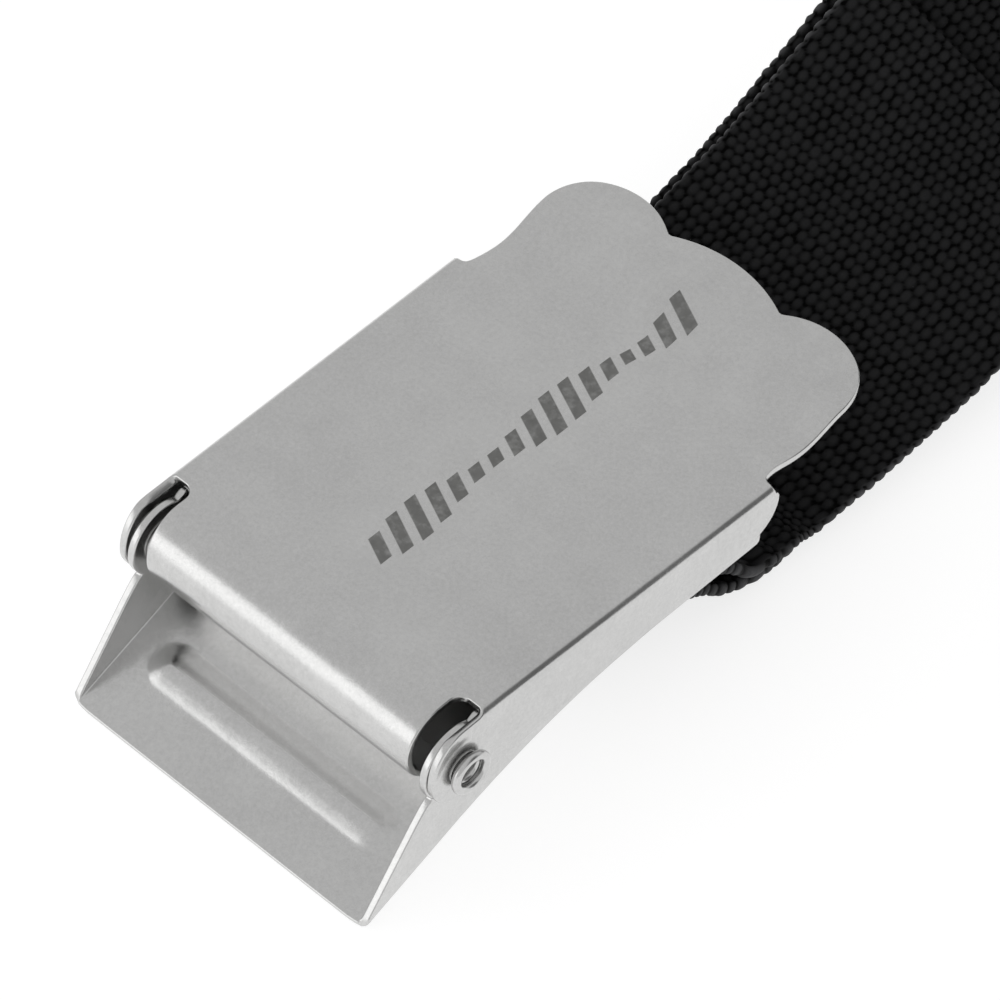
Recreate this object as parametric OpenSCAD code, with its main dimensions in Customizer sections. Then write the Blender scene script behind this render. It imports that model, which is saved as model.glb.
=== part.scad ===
// Cam-lever weight belt buckle on a woven belt.
// Origin: middle of the front lip's lower edge, on the surface that the belt lies on.
// +X runs across the belt, +Y from the front lip towards the belt, +Z up.

/* [Sheet] */
// Thickness of the stamped sheet
sheet = 1.2; // [1:0.1:1.4]
// Inside radius of the frame's folds
fold_r = 0.2; // [0.2:0.1:1.4]
// Outside radius of the lever's long folds
lever_fold_r = 1.4; // [1.3:0.1:1.6]

/* [Frame] */
// Outside width of the frame
frame_w = 55; // [54.8:0.1:55.2]
// Length of the frame, lip to rear bar
frame_l = 74.7; // [74:0.1:76]
// Slope of the front ramp in degrees
ramp_a = 22; // [21:0.5:22]
// Length of the straight ramp along Y
ramp_l = 16; // [15:0.5:17]
// Height of the flat rear floor's underside
floor_z = 14.3; // [14.1:0.1:14.5]
// Radius of the ears round the hinge
ear_r = 6; // [5.8:0.1:6.4]
// Length of the pressed bead in the ramp
bead_l = 44; // [36:1:46]
// Width of the bead at its foot
bead_w = 7.2; // [6:0.2:8]
// Height of the bead
bead_h = 1.2; // [0.8:0.1:1.4]

/* [Belt slots] */
// Front edge of the front slot
front_slot_y = 48; // [47:0.5:49]
// Front edge of the centre bar
bar_y = 54; // [53.5:0.5:54]
// Rear edge of the centre bar
bar_end_y = 61.5; // [61:0.5:61.5]
// Front edge of the rear bar
rear_bar_y = 68.5; // [68.5:0.1:69]
// Width of both slots
slot_w = 51.2; // [50.8:0.1:51.4]

/* [Lever] */
// Outside width of the lever
lever_w = 58; // [57.8:0.1:58.4]
// Height of the lever's top face
top_z = 28; // [28:0.1:28.2]
// Rear edge of the two front notches
notch_y = 21.1; // [20.8:0.1:21.4]
// Inner edge of the notches, from the middle
notch_x = 24.1; // [24:0.1:24.6]
// Shoulder where the finger tab starts
shoulder_y = 74.6; // [74:0.1:75]
// Rear end of the side skirts
skirt_y = 75.4; // [75.2:0.1:76]
// Lower edge of the skirts at the rear
skirt_z = 20; // [19.5:0.5:20.5]
// Outside radius of the rolled front edge
roll_r = 6.3; // [6:0.1:6.4]
// Front of the rolled edge
roll_y = 11.5; // [11.3:0.1:11.7]
// Gap between the teeth and the ramp when shut
bite = 1.0; // [0.8:0.1:1.4]
// Pitch of the cam teeth
tooth_pitch = 1.6; // [1.4:0.1:2]
// Depth of the cam teeth
tooth_h = 0.8; // [0.6:0.1:1]

/* [Finger tab] */
// Half width of the tab at its neck
neck_x = 26.6; // [26:0.1:27]
// Half width of the tab across its outer lobes
side_x = 27.4; // [27:0.1:28]
// Corner radius of the two outer lobes
lobe_r = 7; // [5:0.5:8]
// Rear end of the tab
tab_end_y = 99.6; // [99.2:0.1:100]
// How far the tab dips behind the shoulder
tab_dip = 1.4; // [0:0.1:1.6]
// How far the tip rises above the top face
tab_rise = 0.6; // [0:0.1:1]

/* [Hinge] */
// Hinge axis, distance behind the lip
hinge_y = 17; // [16.8:0.1:17.2]
// Hinge axis, height
hinge_z = 20.4; // [20.2:0.1:20.6]
// Radius of the rivet shank
rivet_r = 2.4; // [2.2:0.1:2.5]
// Running clearance of the shank in the lever
rivet_gap = 0.05; // [0.02:0.01:0.1]
// Radius of the rolled rivet rim
rim_r = 3.4; // [3.2:0.1:3.6]
// Radius of the round section of that rim
rim_bead = 0.68; // [0.6:0.02:0.72]

/* [Belt] */
// Width of the webbing
web_w = 50; // [49:0.5:51]
// Thickness of the webbing
web_t = 2.1; // [2:0.05:2.1]
// Pitch of two layers that lie on each other
lay = 2.3; // [2.25:0.01:2.35]
// Outside radius of the stored roll
roll_out = 31.5; // [30:0.5:34]
// Radius of the roll's open core
roll_core = 11; // [10:0.5:12]
// Thickness of the tie round the roll
tie_t = 1; // [0.8:0.1:1.2]
// Width of the tie
tie_w = 14; // [10:1:16]

/* [Hidden] */
e = 0.01;
round_fn = 64;
skirt_gap = lever_w / 2 - sheet - frame_w / 2;
ear_x = frame_w / 2;
lug_x = lever_w / 2;
lug_r = 5.8;
boss_r = 5;
boss_h = 0.25;
wall_top = top_z - sheet - 0.6;

// The frame floor: a straight ramp, an arc, and a flat rear.
arc_r = (floor_z - ramp_l * tan(ramp_a)) / (1 - cos(ramp_a));
arc_y = ramp_l + arc_r * sin(ramp_a);
arc_z = floor_z - arc_r;

// The cam: the tangent line from the front roll to the tooth, which stands square to the ramp.
floor_gap = hinge_z * cos(ramp_a) - hinge_y * sin(ramp_a) - sheet;
tooth_r = floor_gap - bite;
tooth_y = hinge_y + tooth_r * sin(ramp_a);
tooth_z = hinge_z - tooth_r * cos(ramp_a);
roll_cy = roll_y + roll_r;
roll_cz = top_z - roll_r;
cam_d = norm([tooth_y - roll_cy, tooth_z - roll_cz]);
cam_a = atan2(tooth_z - roll_cz, tooth_y - roll_cy) + asin(roll_r / cam_d);
cam_l = sqrt(cam_d * cam_d - roll_r * roll_r);

// Belt stations: x, y, z of the centreline and the tilt of the width, left side up.
run_stations = [
    [0.3, 75, 4.2, 0], [-0.2, 80, 3.1, 1], [-0.9, 86, 3.4, 3.5], [-1, 92, 4.7, 6.5],
    [-0.6, 102, 7.8, 12], [-0.4, 112, 10.4, 17], [-0.4, 122, 12.9, 22], [-1.2, 132, 15.5, 27],
    [-2.2, 142, 18.4, 32], [-3.1, 152, 21.1, 38]
];
away_stations = [
    [-3.5, 164, 23.6, 46], [-3.1, 176, 24.9, 57], [-2.3, 188, 25.8, 69], [-1.3, 200, 26.2, 81],
    [-1, 212, 26.2, 90], [-1, 222, 26.2, 90]
];
// The tail lies a little to the right of the run beneath it.
tail_shift = 1.2;
roll_x = away_stations[5][0] - web_t / 2 + roll_out;
roll_y_mid = away_stations[5][1];
roll_z = tie_t + 0.2;

// ---- small tools ----
// Extrudes an outline drawn in Y and Z along X, centred.
module across(w) {
    rotate([90, 0, 90]) translate([0, 0, -w / 2]) linear_extrude(w) children();
}
module both_sides() {
    children();
    mirror([1, 0, 0]) children();
}
module x_rod(r, x0, x1) {
    translate([x0, hinge_y, hinge_z]) rotate([0, 90, 0]) cylinder(r = r, h = x1 - x0, $fn = round_fn);
}
function unit(v) = v / norm(v);
function spline(a, b, c, d, t) = 0.5 * (2 * b + (c - a) * t + (2 * a - 5 * b + 4 * c - d) * t * t
    + (3 * b - a - 3 * c + d) * t * t * t);
function smooth(p, n) = [for (i = [0 : len(p) - 2]) for (k = [0 : n - 1])
    spline(p[max(i - 1, 0)], p[i], p[i + 1], p[min(i + 2, len(p) - 1)], k / n), p[len(p) - 1]];

// ---- frame ----
// U-shaped section with round folds, drawn in X and height above the floor's underside.
function fold(x, r, a0, a1) = [for (i = [0 : 6]) let (a = a0 + (a1 - a0) * i / 6)
    [x + r * cos(a), fold_r + sheet + r * sin(a)]];
function u_section(h) = let (ro = fold_r + sheet, xo = frame_w / 2, xc = xo - ro, xi = xo - sheet) concat(
    [[-xo, h]], fold(-xc, ro, 180, 270), fold(xc, ro, 270, 360), [[xo, h], [xi, h]],
    fold(xc, fold_r, 360, 270), fold(-xc, fold_r, 270, 180), [[-xi, h]]);
// The sheet swept along the floor: ramp, arc, flat.
module folded_trough() {
    u = u_section(34);
    n = len(u);
    stations = concat([[0, 0, ramp_a]],
        [for (a = [ramp_a : -ramp_a / 10 : -0.01]) [arc_y - arc_r * sin(a), arc_z + arc_r * cos(a), a]],
        [[frame_l, floor_z, 0]]);
    m = len(stations);
    points = [for (q = stations) for (p = u) [p[0], q[0] - p[1] * sin(q[2]), q[1] + p[1] * cos(q[2])]];
    sides = [for (i = [0 : m - 2]) for (k = [0 : n - 1])
        [n * i + k, n * i + (k + 1) % n, n * i + n + (k + 1) % n, n * i + n + k]];
    front = [for (k = [0 : n / 2 - 2]) [n - 1 - k, n - 2 - k, k + 1, k]];
    rear = [for (f = front) [for (k = [3 : -1 : 0]) n * (m - 1) + f[k]]];
    polyhedron(points, concat(front, sides, rear), convexity = 8);
}
// Side view of the frame: ramp nose, ear and wall.
module frame_outline() {
    difference() {
        union() {
            polygon([[-1, -3], [-1, 0.4], [0, 1.2], [10.9, 15.2], [12.6, 15.8], [hinge_y, 15],
                [hinge_y, wall_top], [frame_l - 3, wall_top], [frame_l, wall_top - 6], [frame_l, -3]]);
            translate([hinge_y, hinge_z]) circle(ear_r, $fn = round_fn);
        }
        difference() {
            translate([frame_l - 2, floor_z - 1]) square([4, 3]);
            translate([frame_l - 2, floor_z + 2]) circle(2, $fn = round_fn);
        }
    }
}
module ramp_frame() { rotate([ramp_a, 0, 0]) translate([0, 0, sheet]) children(); }
// A long bead with sloping flanks and round ends, standing on z = 0.
module bead(l, w, h) {
    top_w = w - 3.2;
    rotate([90, 0, 90]) translate([0, 0, -(l - w) / 2]) linear_extrude(l - w)
        polygon([[-w / 2, 0], [w / 2, 0], [top_w / 2, h], [-top_w / 2, h]]);
    for (s = [-1, 1]) translate([s * (l - w) / 2, 0, 0])
        cylinder(r1 = w / 2, r2 = top_w / 2, h = h, $fn = round_fn);
}
module belt_slot(y0, y1) {
    translate([-slot_w / 2, y0, floor_z - 2]) cube([slot_w, y1 - y0, 5]);
}
module frame() {
    bead_y = 10.9 / cos(ramp_a);
    color("lightgray") difference() {
        union() {
            intersection() {
                folded_trough();
                across(frame_w + 2) frame_outline();
            }
            ramp_frame() translate([0, bead_y, -e]) bead(bead_l, bead_w, bead_h + e);
        }
        ramp_frame() translate([0, bead_y, -sheet - e]) bead(bead_l - 1.6, bead_w - 1.6, bead_h + e);
        belt_slot(front_slot_y, bar_y);
        belt_slot(bar_end_y, rear_bar_y);
        x_rod(rivet_r, -ear_x - 1, ear_x + 1);
    }
}

// ---- lever ----
// Side view of the sheet: flat plate, tab that dips and rises again, front roll and cam.
function tab_z(t) = -tab_dip * sin(180 * min(t / 0.62, 1)) * sin(180 * min(t / 0.62, 1))
    + tab_rise * pow(max(t - 0.45, 0) / 0.55, 2);
module plate_profile() {
    tab_l = tab_end_y + 1 - shoulder_y;
    steps = 24;
    turn = 270 + cam_a - 90;
    over = [for (i = [steps : -1 : 0]) [shoulder_y + tab_l * i / steps, top_z + tab_z(i / steps)]];
    under = [for (i = [steps : -1 : 0]) over[i] - [0, sheet]];
    outer = [for (i = [0 : 28]) let (a = 90 + turn * i / 28) [roll_cy + roll_r * cos(a), roll_cz + roll_r * sin(a)]];
    inner = [for (i = [28 : -1 : 0]) let (a = 90 + turn * i / 28, r = roll_r - sheet)
        [roll_cy + r * cos(a), roll_cz + r * sin(a)]];
    reach = cam_l * [cos(cam_a), sin(cam_a)];
    polygon(concat(over, outer, [outer[28] + reach, inner[0] + reach], inner, under));
}
// Plan view of the tab: neck, two outer lobes and a middle lobe that meet in soft notches.
function arc_drop(r, x) = r - sqrt(r * r - x * x);
function soft_max(a, b, k) = max(a, b) + pow(max(k - abs(a - b), 0), 2) / (4 * k);
function lobe_line(x) = soft_max(tab_end_y - arc_drop(22.5, x),
    tab_end_y - 0.4 - arc_drop(26.1, abs(x) - side_x + lobe_r), 0.5);
module tab_plan() {
    lobe_x = side_x - lobe_r;
    lobe_y = tab_end_y - 0.4 - lobe_r;
    rim = [for (i = [0 : 60]) let (x = lobe_x - lobe_x * i / 30) [x, lobe_line(x)]];
    polygon(concat([[-neck_x, shoulder_y - 1], [neck_x, shoulder_y - 1], [neck_x, shoulder_y + 2.5],
        [neck_x + 0.35, shoulder_y + 6.5], [side_x - 0.25, lobe_y - 5.5], [side_x, lobe_y]],
        rim, [[-side_x, lobe_y], [-side_x + 0.25, lobe_y - 5.5], [-neck_x - 0.35, shoulder_y + 6.5],
        [-neck_x, shoulder_y + 2.5]]));
    both_sides() translate([lobe_x, lobe_y]) circle(lobe_r, $fn = 96);
}
module plate_plan() {
    translate([-notch_x, 0]) square([2 * notch_x, notch_y + 2]);
    translate([-lug_x + lever_fold_r, notch_y]) square([2 * (lug_x - lever_fold_r), shoulder_y - notch_y]);
    tab_plan();
}
// Side view of a skirt: round lug at the hinge, straight lower edge, round rear corner.
module skirt_outline() {
    rear_r = 6;
    top = top_z - lever_fold_r;
    intersection() {
        union() {
            translate([hinge_y, hinge_z]) circle(lug_r, $fn = round_fn);
            translate([hinge_y, hinge_z - lug_r + 0.6]) square([10, 12]);
            polygon([[hinge_y + 0.5, hinge_z - lug_r], [skirt_y - rear_r, skirt_z], [skirt_y + 4, skirt_z],
                [skirt_y + 4, 32], [hinge_y + 0.5, 32]]);
        }
        polygon([[0, 0], [skirt_y - rear_r, 0], [skirt_y - rear_r, skirt_z], [skirt_y - rear_r * 0.55, skirt_z + 0.6],
            [skirt_y - rear_r * 0.16, skirt_z + 2.4], [skirt_y, skirt_z + 4.4], [shoulder_y, top], [notch_y, top],
            [notch_y - 0.6, top + 1], [0, top + 1]]);
    }
}
module skirt() {
    translate([lug_x - sheet, 0, 0]) rotate([90, 0, 90]) linear_extrude(sheet) skirt_outline();
    // the fold between plate and skirt
    translate([lug_x - lever_fold_r, shoulder_y, top_z - lever_fold_r]) rotate([90, 0, 0])
        linear_extrude(shoulder_y - notch_y + 0.6) difference() {
            intersection() {
                circle(lever_fold_r, $fn = round_fn);
                square(lever_fold_r);
            }
            circle(lever_fold_r - sheet, $fn = round_fn);
        }
    // the coined ring round the rivet
    x_rod(boss_r, lug_x - e, lug_x + boss_h);
}
module teeth() {
    n = floor(notch_x / tooth_pitch);
    translate([0, roll_cy, roll_cz]) rotate([cam_a, 0, 0]) translate([0, cam_l, -roll_r])
        for (i = [-n : n]) translate([i * tooth_pitch, 0, -1]) linear_extrude(sheet + 2)
            polygon([[-tooth_pitch / 2, 0.1], [0, -tooth_h], [tooth_pitch / 2, 0.1]]);
}
module lever() {
    color("silver") difference() {
        union() {
            intersection() {
                across(lever_w) plate_profile();
                union() {
                    translate([0, 0, top_z - 4]) linear_extrude(8) plate_plan();
                    translate([-notch_x, 0, 0]) cube([2 * notch_x, hinge_y + 10, top_z - 3]);
                }
            }
            both_sides() skirt();
        }
        teeth();
        both_sides() x_rod(rivet_r + rivet_gap, lug_x - 2 * sheet, lug_x + 1);
    }
}

// ---- rivets ----
// Semi-tubular rivet along +X: inside head, shank, and a rolled hollow rim outside the lever.
module rivet() {
    head_r = 3.6;
    head_t = 0.8;
    hollow_r = 1.75;
    x_head = ear_x - sheet - head_t;
    x_rim = lug_x + boss_h + 0.06 + rim_bead;
    color("gainsboro") translate([x_head, hinge_y, hinge_z]) rotate([0, 90, 0]) difference() {
        union() {
            cylinder(r = head_r, h = head_t, $fn = round_fn);
            cylinder(r = rivet_r, h = x_rim - x_head, $fn = round_fn);
            translate([0, 0, x_rim - x_head]) rotate_extrude($fn = round_fn)
                translate([rim_r - rim_bead, 0]) circle(rim_bead, $fn = 32);
        }
        translate([0, 0, head_t + 0.9]) cylinder(r = hollow_r, h = 8, $fn = round_fn);
        translate([0, 0, x_rim - x_head - 0.5]) cylinder(r1 = hollow_r, r2 = rim_r - rim_bead, h = 1.1, $fn = round_fn);
    }
}
module rivet_right() { rivet(); }
module rivet_left() { mirror([1, 0, 0]) rivet(); }

// ---- webbing ----
function width_dir(t, a) = let (w = [cos(a), 0, -sin(a)]) unit(w - (w * t) * t);
function heading(p, i) = let (a = p[max(i - 1, 0)], b = p[min(i + 1, len(p) - 1)])
    unit([b[0] - a[0], b[1] - a[1], b[2] - a[2]]);
// Four corners of the strap's section at each station.
function section(p, i) = let (t = heading(p, i), r = width_dir(t, p[i][3]), n = cross(r, t),
    c = [p[i][0], p[i][1], p[i][2]])
    [for (s = [[-1, -1], [1, -1], [1, 1], [-1, 1]]) c + r * (s[0] * web_w / 2) + n * (s[1] * web_t / 2)];
module strap(p) {
    n = len(p);
    rings = [for (i = [0 : n - 1]) section(p, i)];
    points = [for (q = rings) for (v = q) v];
    sides = [for (i = [0 : n - 2]) for (k = [0 : 3])
        [4 * i + k, 4 * i + (k + 1) % 4, 4 * i + 4 + (k + 1) % 4, 4 * i + 4 + k]];
    polyhedron(points, concat([[3, 2, 1, 0]], sides, [[for (k = [0 : 3]) 4 * n - 4 + k]]), convexity = 12);
}
// The same stations one layer higher, moved to the right.
function raised(p, d) = [for (i = [0 : len(p) - 1]) let (t = heading(p, i), n = cross(width_dir(t, p[i][3]), t))
    [p[i][0] + n[0] * d + tail_shift, p[i][1] + n[1] * d, p[i][2] + n[2] * d, p[i][3]]];
function reversed(p) = [for (i = [len(p) - 1 : -1 : 0]) p[i]];
under_z = floor_z - 0.15 - web_t / 2;
over_z = floor_z + sheet + 0.15 + web_t / 2;
turn_r = (over_z - under_z) / 2;
turn_y = bar_y + 0.35;
tail = reversed(smooth(raised(run_stations, lay), 2));
threading = concat(
    smooth([[0.6, 72.2, under_z - 3.5, 0], [0.3, 69, under_z - 1.0, 0], [0, 65.2, 14.45, 0], [0, 61.8, over_z, 0],
        [0, 59, over_z, 0]], 3),
    [for (a = [90 : 20 : 270]) [0, turn_y + turn_r * cos(a), (over_z + under_z) / 2 + turn_r * sin(a), 0]],
    smooth([[0, 58, under_z, 0], [0, 62, under_z - 1.2, 0], [0, 66.2, under_z - 3.4, 0], [0.2, 70.2, under_z - 6.6, 0]], 2));
run = smooth(concat(run_stations, away_stations), 2);
module webbing() { color("#1b1b1d") strap(concat(tail, threading, run)); }
module webbing_roll() {
    color("#1b1b1d") translate([roll_x, roll_y_mid, roll_z]) difference() {
        cylinder(r = roll_out, h = web_w, $fn = 96);
        translate([0, 0, -1]) cylinder(r = roll_core, h = web_w + 2, $fn = round_fn);
    }
}
// Band through the roll's core and round its outside.
module roll_tie() {
    inner_x = sqrt(roll_core * roll_core - tie_w * tie_w / 4);
    wall = roll_out - inner_x;
    color("#2a2a2c") translate([roll_x + inner_x - tie_t - 0.2, roll_y_mid - tie_w / 2, 0]) difference() {
        cube([wall + 2 * tie_t + 0.4, tie_w, web_w + 2 * tie_t + 0.4]);
        translate([tie_t, -1, tie_t]) cube([wall + 0.4, tie_w + 2, web_w + 0.4]);
    }
}

frame();
lever();
rivet_left();
rivet_right();
webbing();
webbing_roll();
roll_tie();
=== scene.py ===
import math

import bmesh
import bpy
import numpy as np
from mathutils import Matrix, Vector
from mathutils.geometry import delaunay_2d_cdt


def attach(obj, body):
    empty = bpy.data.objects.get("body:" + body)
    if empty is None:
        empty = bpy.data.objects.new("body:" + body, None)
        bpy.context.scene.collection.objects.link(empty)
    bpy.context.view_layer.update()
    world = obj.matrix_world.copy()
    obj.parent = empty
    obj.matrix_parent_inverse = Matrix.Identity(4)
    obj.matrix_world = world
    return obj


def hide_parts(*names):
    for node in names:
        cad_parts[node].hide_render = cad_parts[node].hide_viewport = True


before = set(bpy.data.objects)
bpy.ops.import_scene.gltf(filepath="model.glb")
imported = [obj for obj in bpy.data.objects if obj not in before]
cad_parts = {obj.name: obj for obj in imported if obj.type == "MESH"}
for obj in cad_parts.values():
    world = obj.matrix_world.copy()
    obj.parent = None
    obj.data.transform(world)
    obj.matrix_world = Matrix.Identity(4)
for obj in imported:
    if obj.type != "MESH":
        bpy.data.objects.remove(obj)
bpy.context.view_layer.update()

MM = 0.001
scene = bpy.context.scene
ROOT, LEVER = "belt_and_frame", "lever"

# ------------------------------------------------------------------ camera, fitted to the photograph
AZIMUTH, ELEVATION = math.radians(44.23), math.radians(49.71)
lens = bpy.data.cameras.new("camera")
lens.lens = 265.7
lens.sensor_width = 36
lens.clip_start = 0.05
lens.clip_end = 20
camera = bpy.data.objects.new("camera", lens)
scene.collection.objects.link(camera)
away = Vector((math.sin(AZIMUTH) * math.cos(ELEVATION), -math.cos(AZIMUTH) * math.cos(ELEVATION),
               math.sin(ELEVATION)))
camera.location = (0.44101, -0.39989, 0.76492)
camera.rotation_euler = away.to_track_quat("Z", "Y").to_euler()
scene.camera = camera

# ------------------------------------------------------------------ sizes, in mm, as in the CAD
SHEET = 1.2
HINGE_Y, HINGE_Z = 17.0, 20.4
# frame: ramp's slope and length, height of the floor's underside and of the walls' upper edge
RAMP_A = math.radians(22)
RAMP_L, FLOOR_Z, WALL_Z, FRAME_HALF = 16.0, 14.3, 26.2, 27.5
# lever: plate's upper face, its rear corners, the skirts' lower edge and the rolled front edge
TOP_Z, SHOULDER_Y, SKIRT_Z, LEVER_HALF = 28.0, 74.6, 20.0, 29.0
ROLL_R, ROLL_Y = 6.3, 11.5
# finger tab and its three lobes
TAB_END, TAB_DIP, TAB_RISE, TAB_HALF = 99.6, 1.4, 0.6, 27.4
MIDDLE_LOBE_R, LOBE_X, LOBE_R, LOBE_CORNER = 22.5, 17.4, 12.0, 8.2
# webbing with the step from one layer to the next, the stored roll and its tie
WEB_W, WEB_T, LAY = 50.0, 2.1, 2.3
ROLL_OUT, ROLL_CORE, TIE_T, TIE_W = 31.5, 11.0, 1.0, 14.0
# visual mesh: gap from a rounded edge to the first points of a face, and from those to the rest
RIM_GAP, FILL_GAP = 0.14, 0.16


# ------------------------------------------------------------------ mesh helpers
def make(name, verts_mm, faces, body, replaces):
    """A smooth-shaded object from points in mm, which rides a body and stands for CAD nodes."""
    mesh = bpy.data.meshes.new(name)
    verts = np.asarray(verts_mm, float) * MM
    mesh.from_pydata([tuple(v) for v in verts], [], [tuple(int(i) for i in f) for f in faces])
    shape = bmesh.new()
    shape.from_mesh(mesh)
    bmesh.ops.recalc_face_normals(shape, faces=shape.faces)
    shape.to_mesh(mesh)
    shape.free()
    mesh.update()
    mesh.polygons.foreach_set("use_smooth", [True] * len(mesh.polygons))
    obj = bpy.data.objects.new(name, mesh)
    scene.collection.objects.link(obj)
    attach(obj, body)
    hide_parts(*replaces)
    return obj


def point_layer(obj, name, values):
    """One number for each point of the mesh, for its material."""
    layer = obj.data.attributes.new(name, "FLOAT", "POINT")
    layer.data.foreach_set("value", np.asarray(values, np.float32))


def smoothstep(a, b, x):
    t = np.clip((x - a) / (b - a), 0, 1)
    return t * t * (3 - 2 * t)


def inside(loop, pts):
    """Even-odd test of many points against one closed loop."""
    x, y = pts[:, 0][:, None], pts[:, 1][:, None]
    a, b = loop, np.roll(loop, -1, axis=0)
    crosses = (a[:, 1] > y) != (b[:, 1] > y)
    rise = np.where(b[:, 1] == a[:, 1], 1e-12, b[:, 1] - a[:, 1])
    at = a[:, 0] + (y - a[:, 1]) * (b[:, 0] - a[:, 0]) / rise
    return (crosses & (x < at)).sum(1) % 2 == 1


def signed_area(loop):
    x, y = loop[:, 0], loop[:, 1]
    return 0.5 * np.sum(x * np.roll(y, -1) - y * np.roll(x, -1))


def resample(points, step):
    """Adds points to a closed loop so that no edge is longer than step."""
    out = []
    for a, b in zip(points, np.roll(points, -1, axis=0)):
        n = max(1, int(math.ceil(np.hypot(*(b - a)) / step)))
        out += [a + (b - a) * k / n for k in range(n)]
    return np.array(out)


def outward(loop):
    """Outward directions at a loop's points, longer at its corners so that an offset stays even."""
    d0 = loop - np.roll(loop, 1, axis=0)
    d1 = np.roll(loop, -1, axis=0) - loop
    d0 /= np.linalg.norm(d0, axis=1)[:, None]
    d1 /= np.linalg.norm(d1, axis=1)[:, None]
    t = d0 + d1
    t /= np.linalg.norm(t, axis=1)[:, None]
    stretch = np.clip(1 / np.maximum((t * d1).sum(1), 0.2), 1, 1.5)
    return np.stack([t[:, 1], -t[:, 0]], 1) * stretch[:, None]


def soft_line(points, reach, step=0.05):
    """A line through the points with its corners rounded, as two columns for np.interp."""
    x = np.arange(points[0][0], points[-1][0], step)
    y = np.interp(x, *np.array(points).T)
    n = int(reach / step)
    return x, np.convolve(np.pad(y, n, "edge"), np.ones(2 * n + 1) / (2 * n + 1), "valid")


def triangulate(rims, fill):
    """Triangles inside the first rim and outside the others, through the fill points between them.
    The points of the rims come first in the result."""
    def between(pts):
        ok = inside(rims[0], pts)
        for hole in rims[1:]:
            ok &= ~inside(hole, pts)
        return ok

    fill = fill[between(fill)]
    rim = np.vstack(rims)
    near = np.array([np.min(np.hypot(rim[:, 0] - p[0], rim[:, 1] - p[1])) for p in fill])
    flat = np.vstack([rim, fill[near > FILL_GAP]])
    edges, start = [], 0
    for q in rims:
        n = len(q)
        edges += [(start + i, start + (i + 1) % n) for i in range(n)]
        start += n
    points, _, faces, _, _, _ = delaunay_2d_cdt([Vector(p) for p in flat], edges, [], 0, 1e-5)
    points = np.array([tuple(p) for p in points])
    faces = np.array([f for f in faces if len(f) == 3])
    return points, faces[between(points[faces].mean(1))]


def edge_section(r):
    """Steps (outwards, height) over the edge of the sheet, both its corners rounded to the radii r."""
    section = [(r * 0, r * 0)]
    for a in (30, 60, 90):
        c, s = math.cos(math.radians(a)), math.sin(math.radians(a))
        section.append((r * s, -r * (1 - c)))
    return section + [(e, -SHEET - h) for e, h in reversed(section)]


def sheet_part(name, loops, fill, place, edge, body, replaces):
    """A bent steel sheet: its flat pattern, loops and fill points, goes through place(u, s, height).
    The first loop is the outline, the others are holes. Their edges are rounded to the radii in
    edge, one number for each loop or one for each of its points."""
    rings, radii = [], []
    for k, loop in enumerate(loops):
        r = np.broadcast_to(np.asarray(edge[k], float), (len(loop),))
        if (signed_area(loop) < 0) == (k == 0):
            loop, r = loop[::-1], r[::-1]
        rings.append(loop)
        radii.append(r)
    normals = [outward(q) for q in rings]
    rims = [q - n * (r + RIM_GAP)[:, None] for q, n, r in zip(rings, normals, radii)]
    points, triangles = triangulate(rims, fill)
    u, s, count = points[:, 0], points[:, 1], len(points)
    verts = [place(u, s, np.zeros(count)), place(u, s, np.full(count, -SHEET))]
    faces = [tuple(f) for f in triangles] + [tuple(f[::-1] + count) for f in triangles]
    base, start = 2 * count, 0
    for q, n, r in zip(rings, normals, radii):
        m = len(q)
        chain = [np.arange(start, start + m)]
        for e, h in edge_section(r):
            p = q - n * r[:, None] + n * e[:, None]
            verts.append(place(p[:, 0], p[:, 1], h))
            chain.append(np.arange(base, base + m))
            base += m
        chain.append(np.arange(start, start + m) + count)
        for lo, hi in zip(chain, chain[1:]):
            for i in range(m):
                j = (i + 1) % m
                faces.append((lo[i], hi[i], hi[j], lo[j]))
        start += m
    return make(name, np.vstack(verts), faces, body, replaces)


def arc(cx, cy, rx, ry, a0, a1, n):
    """n points of an ellipse round (cx, cy), from angle a0 to a1 in degrees."""
    a = np.radians(np.linspace(a0, a1, n))
    return [(cx + rx * math.cos(t), cy + ry * math.sin(t)) for t in a]


def grid(u0, u1, du, s0, s1, ds):
    """Points over a rectangle, about du and ds apart."""
    us = np.linspace(u0, u1, max(2, int(round((u1 - u0) / du)) + 1))
    ss = np.linspace(s0, s1, max(2, int(round((s1 - s0) / ds)) + 1))
    return np.array([(u, s) for u in us for s in ss])


def mirrored(right):
    """A closed outline from its right half, listed from the bottom middle to the top middle."""
    right = [tuple(p) for p in right]
    left = [(-u, s) for u, s in reversed(right)]
    if abs(right[-1][0]) < 1e-6:
        left = left[1:]
    if abs(right[0][0]) < 1e-6:
        left = left[:-1]
    return np.array(right + left)


# ------------------------------------------------------------------ lever
# Its flat pattern has u across and s along: s is Y on the plate and the skirts, and past ROLL_CY
# it runs on round the roll and down the cam. A skirt lies beyond FOLD_END in u.
FOLD_R = 1.4
FLARE = 1.3  # the right skirt stands a little open at the rear
LEVER_X, YAW = -0.27, 0.0055  # side play: the lever lies against the right ear, its tab a hair to the left
SKIRT_Y, SKIRT_ROUND = 75.5, 7.4  # rear end of the skirts and the length of their rounded corner
LUG_R, LUG_TOP, LUG_HOLE = 5.7, 7.05, 2.45  # the lug's radius, its reach above the rivet, its hole
RING_H, RING_IN, RING_OUT = 0.14, 3.9, 5.2  # coined ring round the rivet: height and slope
FOLD_U = LEVER_HALF - FOLD_R
FOLD_END = FOLD_U + FOLD_R * math.pi / 2
ROLL_CY, ROLL_CZ = ROLL_Y + ROLL_R, TOP_Z - ROLL_R
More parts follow.
